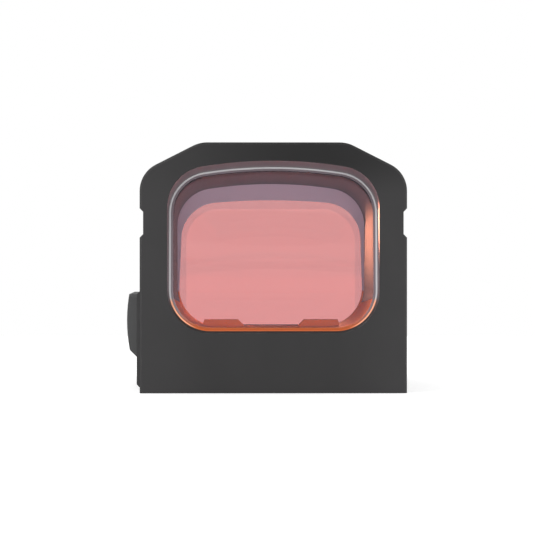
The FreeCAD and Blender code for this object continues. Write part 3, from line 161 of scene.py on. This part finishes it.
def area_light(name, place, target, size, power, colour=STUDIO_WHITE, spread=math.pi):
    """A soft light at place that points at target. size is its width and its height."""
    data = bpy.data.lights.new(name, "AREA")
    data.shape = "RECTANGLE"
    data.size, data.size_y = size
    data.energy = power
    data.color = colour
    data.spread = spread
    light = bpy.data.objects.new(name, data)
    light.location = place
    light.rotation_euler = (Vector(target) - Vector(place)).to_track_quat("-Z", "Y").to_euler()
    bpy.context.scene.collection.objects.link(light)
    return light


def make_lights():
    """Soft lights from the left, the right and the front, and two narrow warm beams through the objective.

    The front light and the beams are hidden from sight through the glass. The beams stay visible to glossy
    rays, which carry their glow onto the tunnel's walls.
    """
    middle = (CAD_LOW + CAD_HIGH) / 2
    for name, way, size, power in SOFT_LIGHTS:
        area_light(name, middle + Vector(way), middle, size, power)
    front = area_light("front_light", Vector(FRONT_LIGHT_PLACE), middle, FRONT_LIGHT_SIZE, FRONT_LIGHT_POWER)
    front.visible_glossy = False
    front.visible_transmission = False
    for name, target, along, size, power in WARM_BEAMS:
        target = Vector(target) * MM
        place = target + Vector(along).normalized() * BEAM_REACH
        beam = area_light(name, place, target, size, power, BEAM_COLOUR, BEAM_SPREAD)
        beam.visible_camera = False
        beam.visible_transmission = False


def make_floor():
    """A pale round floor, which isn't part of the object."""
    mesh = bpy.data.meshes.new("floor")
    disc = bmesh.new()
    bmesh.ops.create_circle(disc, cap_ends=True, radius=FLOOR_RADIUS, segments=96)
    disc.to_mesh(mesh)
    disc.free()
    floor = bpy.data.objects.new("floor", mesh)
    floor.location.z = CAD_LOW.z - FLOOR_GAP
    bpy.context.scene.collection.objects.link(floor)
    material, tree, shader = new_material("floor_paper")
    speck = noise(tree, FLOOR_SPECK_SIZE)
    tone = mix(tree, speck, [c * FLOOR_SPECK for c in FLOOR_COLOUR], FLOOR_COLOUR)
    tree.links.new(tone, shader.inputs["Base Color"])
    shader.inputs["Roughness"].default_value = 0.9
    shader.inputs["Emission Color"].default_value = (*STUDIO_WHITE, 1)
    shader.inputs["Emission Strength"].default_value = FLOOR_GLOW
    mesh.materials.append(material)


# ---- Node helpers ----

def new_material(name):
    """A new material with its node tree and its Principled shader."""
    material = bpy.data.materials.new(name)
    material.use_nodes = True
    return material, material.node_tree, material.node_tree.nodes["Principled BSDF"]


def add(tree, kind, inputs=None, **settings):
    """A node with its settings, whose inputs are linked to a socket or set to a value."""
    node = tree.nodes.new(kind)
    for key, value in settings.items():
        setattr(node, key, value)
    for key, value in (inputs or {}).items():
        if isinstance(value, bpy.types.NodeSocket):
            tree.links.new(value, node.inputs[key])
        else:
            node.inputs[key].default_value = value
    return node


def place_on(tree):
    """The place on the piece at rest."""
    return add(tree, "ShaderNodeTexCoord").outputs["Object"]


def axes_on(tree):
    """The place on the piece at rest, with its X, Y and Z apart."""
    return add(tree, "ShaderNodeSeparateXYZ", {0: place_on(tree)}).outputs


def noise(tree, size, detail=3.0, stretch=(1, 1, 1)):
    """Soft noise from 0 to 1, with lumps about size across, drawn out along the axes as stretch says."""
    scale = [1 / (size * s) for s in stretch]
    place = add(tree, "ShaderNodeMapping", {"Vector": place_on(tree), "Scale": scale}).outputs[0]
    return add(tree, "ShaderNodeTexNoise", {"Vector": place, "Scale": 1.0, "Detail": detail}).outputs["Fac"]


def ramp(tree, value, start, end, low=0.0, high=1.0):
    """Goes smoothly from low, where value is start, to high, where it is end."""
    inputs = {"Value": value, "From Min": start, "From Max": end, "To Min": low, "To Max": high}
    return add(tree, "ShaderNodeMapRange", inputs, interpolation_type="SMOOTHSTEP").outputs["Result"]


def mix(tree, share, first, second):
    """A colour between first and second."""
    node = add(tree, "ShaderNodeMix", data_type="RGBA")
    for socket, value in ((node.inputs[0], share), (node.inputs[6], first), (node.inputs[7], second)):
        if isinstance(value, bpy.types.NodeSocket):
            tree.links.new(value, socket)
        elif socket.type == "RGBA":
            socket.default_value = (*value, 1)
        else:
            socket.default_value = value
    return node.outputs[2]


def maths(tree, operation, first, second=0.0):
    """One step of arithmetic."""
    return add(tree, "ShaderNodeMath", {0: first, 1: second}, operation=operation).outputs[0]


def edges(tree, width):
    """(the normal with its edges rounded over width, how much of an edge a spot is, from 0 to 1)."""
    rounded = add(tree, "ShaderNodeBevel", {"Radius": width}, samples=4).outputs["Normal"]
    inputs = {0: rounded, 1: add(tree, "ShaderNodeNewGeometry").outputs["Normal"]}
    alike = add(tree, "ShaderNodeVectorMath", inputs, operation="DOT_PRODUCT").outputs["Value"]
    return rounded, ramp(tree, alike, *EDGE_FADE)


def surface(
    name,
    colour,
    roughness,
    grain=0.12,
    depth=0.004,
    mottle=0.12,
    worn=(0.25, 0.25, 0.255),
    wear=0.3,
    edge=0.08,
    stretch=(1, 1, 1),
    metallic=0.0,
    specular=0.5,
    tint=None,
):
    """A solid finish with fine grain, soft variation and worn edges.

    grain, depth and edge are in millimetres. tint(tree, colour) gives the colour another turn.
    """
    material, tree, shader = new_material(name)
    broad = noise(tree, MOTTLE_SIZE)
    fine = noise(tree, grain * MM, FINE_DETAIL, stretch)
    normal, edge_share = edges(tree, edge * MM)
    darker = [c * (1 - mottle) for c in colour]
    lighter = [min(c * (1 + mottle), 1) for c in colour]
    toned = mix(tree, broad, darker, lighter)
    if tint:
        toned = tint(tree, toned)
    patches = ramp(tree, noise(tree, WEAR_SIZE), *WEAR_FADE, 0, wear)
    scuff = maths(tree, "MULTIPLY", edge_share, patches)
    tree.links.new(mix(tree, scuff, toned, worn), shader.inputs["Base Color"])
    rough = ramp(tree, fine, *ROUGH_FADE, roughness * (1 - ROUGH_SPREAD), roughness * (1 + ROUGH_SPREAD))
    tree.links.new(rough, shader.inputs["Roughness"])
    bump = {"Strength": BUMP_STRENGTH, "Distance": depth * MM, "Height": fine, "Normal": normal}
    tree.links.new(add(tree, "ShaderNodeBump", bump).outputs[0], shader.inputs["Normal"])
    shader.inputs["Metallic"].default_value = metallic
    shader.inputs["Specular IOR Level"].default_value = specular
    return material


# ---- Materials ----

def painted_face_light_and_shade(tree):
    """The eye face's painted light and shade: painted light towards its sides, painted shade over the window.
    """
    place = axes_on(tree)
    gain = ramp(tree, maths(tree, "ABSOLUTE", place["X"]), *SIDE_PAINTED_LIGHT)
    loss = maths(tree, "MULTIPLY", ramp(tree, place["Z"], *TOP_FADE), ramp(tree, place["X"], *TOP_PAINTED_SHADE))
    change = maths(tree, "SUBTRACT", gain, loss)
    on_face = ramp(tree, place["Y"], *FACE_FADE)
    return maths(tree, "ADD", 1.0, maths(tree, "MULTIPLY", change, on_face))


def housing_black():
    """Matte black anodising over a fine bead blast, with painted light and shade on the eye face."""

    def shade(tree, toned):
        inputs = {0: toned, "Scale": painted_face_light_and_shade(tree)}
        return add(tree, "ShaderNodeVectorMath", inputs, operation="SCALE").outputs[0]

    return surface("housing_black", HOUSING_BLACK, 0.55, specular=0.25, tint=shade)


def bezel_painted_reflection():
    """The smooth slope round the window, painted a lighter mauve as a painted reflection on the black
    housing, with painted shade that darkens it towards its sill.
    """

    def painted_shade_low(tree, toned):
        height = axes_on(tree)["Z"]
        return mix(tree, ramp(tree, height, *BEZEL_FADE), HOUSING_BLACK, toned)

    look = {"grain": 0.1, "depth": 0.001, "wear": 0, "specular": 0.4, "tint": painted_shade_low}
    return surface("bezel_painted_reflection", BEZEL_REFLECTION_COLOUR, 0.35, **look)


def tunnel_black_painted_violet():
    """The tunnel's walls, black, with a violet cast that is painted light and stands for the tinted light
    inside the tunnel.
    """
    return surface("tunnel_black_painted_violet", TUNNEL_PAINTED_VIOLET_CAST, 0.55, wear=0, specular=0.25)


def flange_partly_painted_light():
    """The mauve face of the flange before the objective, whose pale tone is partly painted light, with
    painted orange light on its foot.
    """

    def foot(tree, toned):
        height = axes_on(tree)["Z"]
        # Painted orange light on the flange's foot.
        return mix(tree, ramp(tree, height, FLANGE_FOOT - FOOT_BLUR, FLANGE_FOOT + FOOT_BLUR), BRONZE_AND_WARM_GLOW, toned)

    look = {"grain": 0.1, "depth": 0.001, "mottle": 0.03, "wear": 0, "specular": 0.2, "tint": foot}
    return surface("flange_partly_painted_light", FLANGE_MAUVE_AND_PAINTED_LIGHT, 0.6, **look)


def painted_floor_reflection(tree, toned):
    """Painted reflection of the floor: takes the bronze's colour low down, close to the tunnel's floor."""
    height = axes_on(tree)["Z"]
    return mix(tree, ramp(tree, height, *BEVEL_FADE), FLOOR_REFLECTION_COLOUR, toned)


def painted_corner_glint(tree, toned):
    """Painted reflection: takes the bronze's colour low down, with a painted glint brightest in the lower
    corners.
    """
    height = axes_on(tree)["Z"]
    low = mix(tree, ramp(tree, height, *SEAL_FOOT_FADE), FLOOR_REFLECTION_COLOUR, CORNER_GLINT_COLOUR)
    return mix(tree, ramp(tree, height, *SEAL_FADE), low, toned)


def bevel_painted_reflection():
    """The ground bevel of the rear window, whose colours are a painted reflection of the tunnel's."""
    look = {"grain": 0.08, "depth": 0.001, "mottle": 0.08, "wear": 0, "tint": painted_floor_reflection}
    return surface("bevel_painted_reflection", BEVEL_REFLECTION_COLOUR, 0.5, **look)


def seal_grey():
    """The sealing bead round the rear window, whose pale grey is partly a painted highlight."""
    look = {"grain": 0.1, "depth": 0.002, "wear": 0, "specular": 0.2, "tint": painted_corner_glint}
    return surface("seal_grey", SEAL_GREY_AND_HIGHLIGHT, 0.6, **look)


def tray_black():
    """The cap's anodising, slightly smoother than the housing's."""
    return surface("tray_black", (0.024, 0.024, 0.0245), 0.5, grain=0.1, specular=0.35)


def bronze_anodised():
    """Satin orange-bronze anodising, drawn along the tunnel. Its strong orange is partly painted light,
    standing for the warm light in the tunnel.
    """
    return surface(
        "bronze_anodised",
        BRONZE_AND_WARM_GLOW,
        0.6,
        grain=0.1,
        depth=0.001,
        mottle=0.03,
        worn=(0.9, 0.45, 0.25),
        edge=0.04,
        stretch=(1, 6, 1),
        specular=0.04,
    )


def glass(name, tint, reflection, index):
    """Glass whose colour tint(tree) gives, with the colour of its coat's reflection."""
    material, tree, shader = new_material(name)
    tree.links.new(tint(tree), shader.inputs["Base Color"])
    shader.inputs["Transmission Weight"].default_value = 1.0
    shader.inputs["IOR"].default_value = index
    shader.inputs["Roughness"].default_value = 0.0
    shader.inputs["Specular Tint"].default_value = (*reflection, 1)
    return material


def clear_glass():
    """The rear window, faintly smeared, with a mauve anti-reflection coat."""

    def smeared(tree):
        return mix(tree, noise(tree, SMEAR_SIZE), [c * SMEAR for c in CLEAR], CLEAR)

    return glass("clear_glass", smeared, (0.9, 0.72, 0.86), 1.46)


def coated_glass():
    """The objective, whose coat passes a pink light, and which is a darker pink in a band a little inside the
    flange's rim.
    """

    def coat(tree):
        place = axes_on(tree)
        beside = maths(tree, "SUBTRACT", maths(tree, "ABSOLUTE", place["X"]), DARK_BAND_HALF - DARK_BAND_CORNER)
        above = maths(tree, "SUBTRACT", place["Z"], DARK_BAND_TOP - DARK_BAND_CORNER)
        inputs = {0: maths(tree, "MAXIMUM", beside), 1: maths(tree, "MAXIMUM", above)}
        corner = add(tree, "ShaderNodeCombineXYZ", inputs).outputs[0]
        reach = add(tree, "ShaderNodeVectorMath", {0: corner}, operation="LENGTH").outputs["Value"]
        past = ramp(tree, reach, DARK_BAND_CORNER - DARK_BAND_BLUR, DARK_BAND_CORNER + DARK_BAND_BLUR)
        return mix(tree, past, PINK, PINK_EDGE)

    return glass("coated_glass", coat, (1.0, 0.5, 0.45), 1.5)


OWN_FINISHES = {
    "housing_black": housing_black,
    "tray_black": tray_black,
    "bronze_anodised": bronze_anodised,
    "clear_glass": clear_glass,
    "coated_glass": coated_glass,
    "seal_grey": seal_grey,
}

BLACK_STEEL = {"worn": (0.4, 0.4, 0.4), "specular": 0.6}
PLAIN_FINISHES = {
    # slot: colour, roughness and what differs from surface's defaults
    "bare_aluminium": (
        (0.6, 0.6, 0.62),
        0.35,
        {"stretch": (8, 1, 1), "metallic": 1.0, "worn": (0.8, 0.8, 0.8)},
    ),
    "seal_black": ((0.02, 0.02, 0.02), 0.7, {"wear": 0}),
    "screw_black": ((0.03, 0.03, 0.032), 0.35, {"edge": 0.05, **BLACK_STEEL}),
    "adjuster_black": ((0.035, 0.035, 0.037), 0.35, {"edge": 0.06, **BLACK_STEEL}),
    "bright_steel": ((0.6, 0.6, 0.6), 0.25, {"metallic": 1.0, "stretch": (1, 1, 6)}),
    "spring_steel": ((0.42, 0.42, 0.43), 0.3, {"metallic": 1.0}),
    "cell_steel": ((0.68, 0.68, 0.67), 0.22, {"metallic": 1.0, "worn": (0.5, 0.5, 0.5)}),
    "brass": (
        (0.7, 0.48, 0.19),
        0.3,
        {"stretch": (6, 1, 1), "metallic": 1.0, "worn": (0.85, 0.65, 0.35)},
    ),
    "contact_brass": ((0.85, 0.62, 0.3), 0.25, {"metallic": 1.0}),
    "black_plastic": ((0.025, 0.025, 0.025), 0.5, {"wear": 0}),
    "board_green": ((0.02, 0.14, 0.05), 0.35, {"wear": 0, "mottle": 0.2}),
    "chip_black": ((0.02, 0.02, 0.02), 0.5, {"wear": 0}),
    "led_red": ((0.6, 0.03, 0.02), 0.15, {"wear": 0}),
    "button_rubber": (
        (0.052, 0.052, 0.053),
        0.62,
        {"grain": 0.16, "depth": 0.006, "wear": 0.1, "edge": 0.15},
    ),
}


def finish(slot):
    """The material for a slot."""
    if slot in OWN_FINISHES:
        return OWN_FINISHES[slot]()
    colour, roughness, more = PLAIN_FINISHES[slot]
    return surface(slot, colour, roughness, **more)


def dress_nodes():
    """Gives each CAD node the finish that its material slot names."""
    slots = {part["node"]: part["material_slot"] for part in frame["record"]["subparts"]}
    made = {slot: finish(slot) for slot in sorted(set(slots.values()))}
    for name, node in frame["nodes"].items():
        for material_slot in node.material_slots:
            material_slot.material = made[slots[name]]


def paint(name, material, chosen):
    """Gives a second material to the faces of a node for which chosen(centre, normal) holds, in millimetres.
    """
    mesh = frame["nodes"][name].data
    mesh.materials.append(material)
    for face in mesh.polygons:
        if chosen(face.center / MM, face.normal):
            face.material_index = len(mesh.materials) - 1


def inside(centre, box):
    """True for a place in one of the boxes."""
    half, (near, far), (low, high) = box
    return abs(centre.x) < half and near < centre.y < far and low < centre.z < high


def on_bezel(centre, normal):
    """True on the slope between the eye face and the rear window, but not on its sill."""
    return inside(centre, BEZEL_BOX) and normal.y > -SQUARE


def on_flange(centre, normal):
    """True on the eye side of the flange that carries the objective, and on the edge of its opening."""
    face = inside(centre, FLANGE_BOX) and normal.y < -SQUARE
    edge = inside(centre, OPENING_BOX) and abs(normal.y) < ALONG
    return face or edge


def on_tunnel(centre, normal):
    """True on the walls and the roof of the tunnel."""
    return inside(centre, TUNNEL_BOX) and abs(normal.y) < ALONG


def on_bevel(centre, normal):
    """True on the rear window's bevel."""
    return -SQUARE < normal.y < -ALONG


def dress_details():
    """The materials that cover a part of a node: painted reflection on the bezel and the rear window's bevel,
    a painted violet cast in the tunnel and partly painted light on the flange.
    """
    paint("housing", tunnel_black_painted_violet(), on_tunnel)
    paint("housing", bezel_painted_reflection(), on_bezel)
    paint("housing", flange_partly_painted_light(), on_flange)
    paint("rear_window", bevel_painted_reflection(), on_bevel)
    for name in ("rear_window", "objective_inner_element", "objective_outer_element"):
        frame["nodes"][name].visible_shadow = False


make_camera()
make_world()
make_lights()
make_floor()
dress_nodes()
dress_details()
